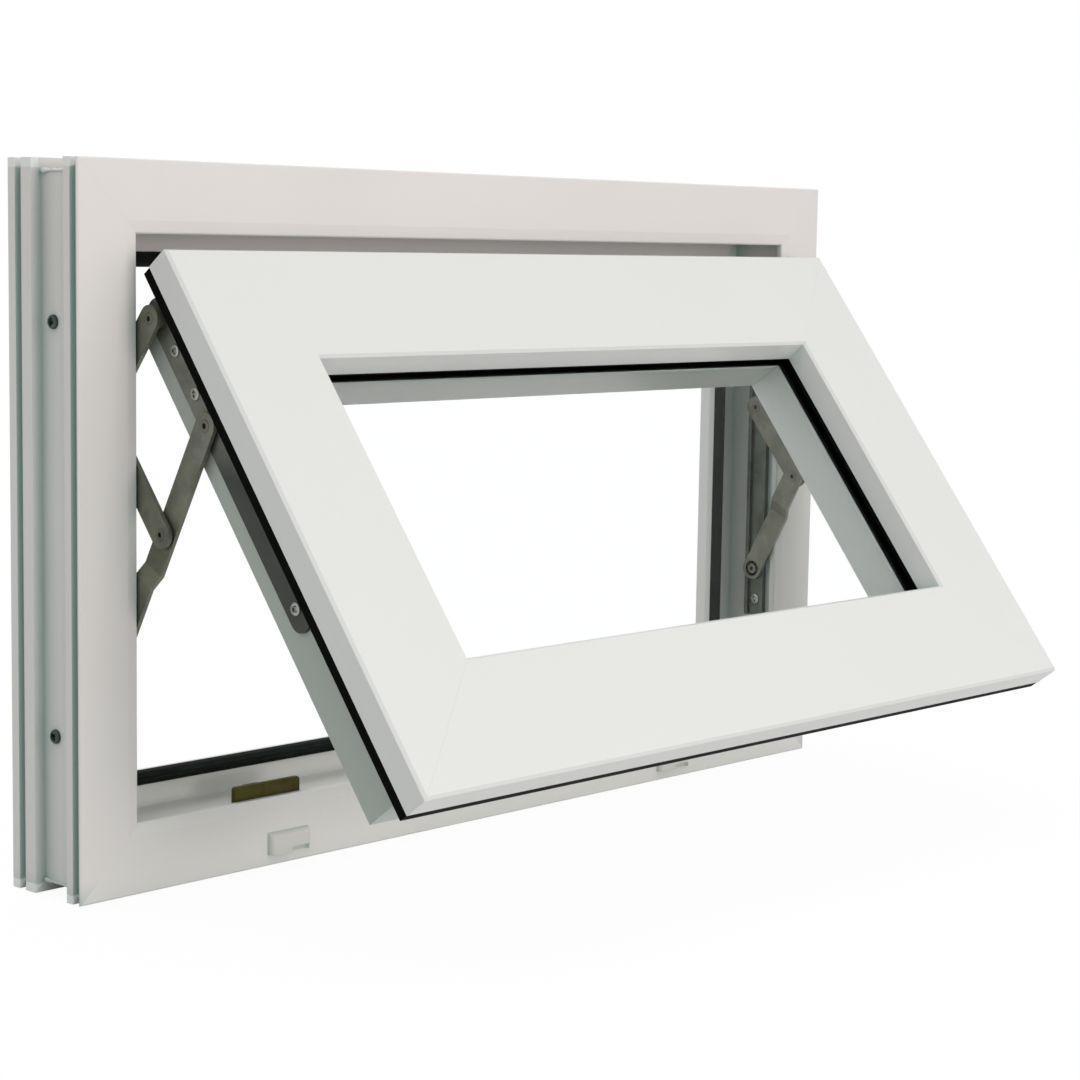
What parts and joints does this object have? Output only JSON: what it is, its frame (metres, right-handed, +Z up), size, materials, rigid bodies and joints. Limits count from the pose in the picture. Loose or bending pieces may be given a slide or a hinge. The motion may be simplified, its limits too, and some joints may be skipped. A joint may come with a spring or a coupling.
{
  "type": "top hung awning window",
  "caption": "White PVC-U top hung awning window: outer frame with black seals and an outward opening glazed sash held ajar by friction stays",
  "frame": {"origin": "On the underside of the sill, at mid width, in the middle of the rear seat rib that stands on the opening.", "axes": "+X runs along the width to the right as seen from outdoors, -Y is the outdoor side the sash opens to, +Z is up. The frame face lies at Y -45.25 mm and the room side at Y +16.25 mm."},
  "size_m": [0.64, 0.289, 0.4],
  "materials": {
    "frame_white": "smooth white PVC-U",
    "sash_white": "smooth white PVC-U",
    "bead_white": "smooth white PVC-U",
    "cap_white": "moulded white plastic",
    "handle_white": "white coated handle",
    "gasket": "black weather seal",
    "glass": "clear float glass",
    "stay_steel": "stamped stainless steel",
    "track_steel": "rolled stainless steel, shaded",
    "rivet_steel": "turned rivet heads",
    "screw_steel": "pan head screws",
    "frame_screws": "zinc plated screws",
    "keep_brass": "yellow passivated zinc, dull",
    "lock_steel": "plated steel strip",
    "lock_cams": "turned steel pins"
  },
  "bodies": {
    "root": {"drain_cap_left": "cap_white", "drain_cap_right": "cap_white", "frame_gasket": "gasket", "frame_head": "frame_white", "frame_jamb_left": "frame_white", "frame_jamb_right": "frame_white", "frame_sill": "frame_white", "glass_pane": "glass", "glazing_bead_bottom": "bead_white", "glazing_bead_left": "bead_white", "glazing_bead_right": "bead_white", "glazing_bead_top": "bead_white", "glazing_gasket_inner": "gasket", "glazing_gasket_outer": "gasket", "handle_lever": "handle_white", "handle_rose": "handle_white", "jamb_screws_left": "frame_screws", "jamb_screws_right": "frame_screws", "keep_left": "keep_brass", "keep_right": "keep_brass", "lock_cams": "lock_cams", "lock_strip": "lock_steel", "sash_bottom_rail": "sash_white", "sash_gasket": "gasket", "sash_stile_left": "sash_white", "sash_stile_right": "sash_white", "sash_top_rail": "sash_white", "stay_link_left": "stay_steel", "stay_link_right": "stay_steel", "stay_long_arm_left": "stay_steel", "stay_long_arm_right": "stay_steel", "stay_rivets_left": "rivet_steel", "stay_rivets_right": "rivet_steel", "stay_sash_bar_left": "stay_steel", "stay_sash_bar_right": "stay_steel", "stay_screws_left": "screw_steel", "stay_screws_right": "screw_steel", "stay_slider_left": "track_steel", "stay_slider_right": "track_steel", "stay_top_arm_left": "stay_steel", "stay_top_arm_right": "stay_steel", "stay_track_left": "track_steel", "stay_track_right": "track_steel"}
  },
  "joints": []
}
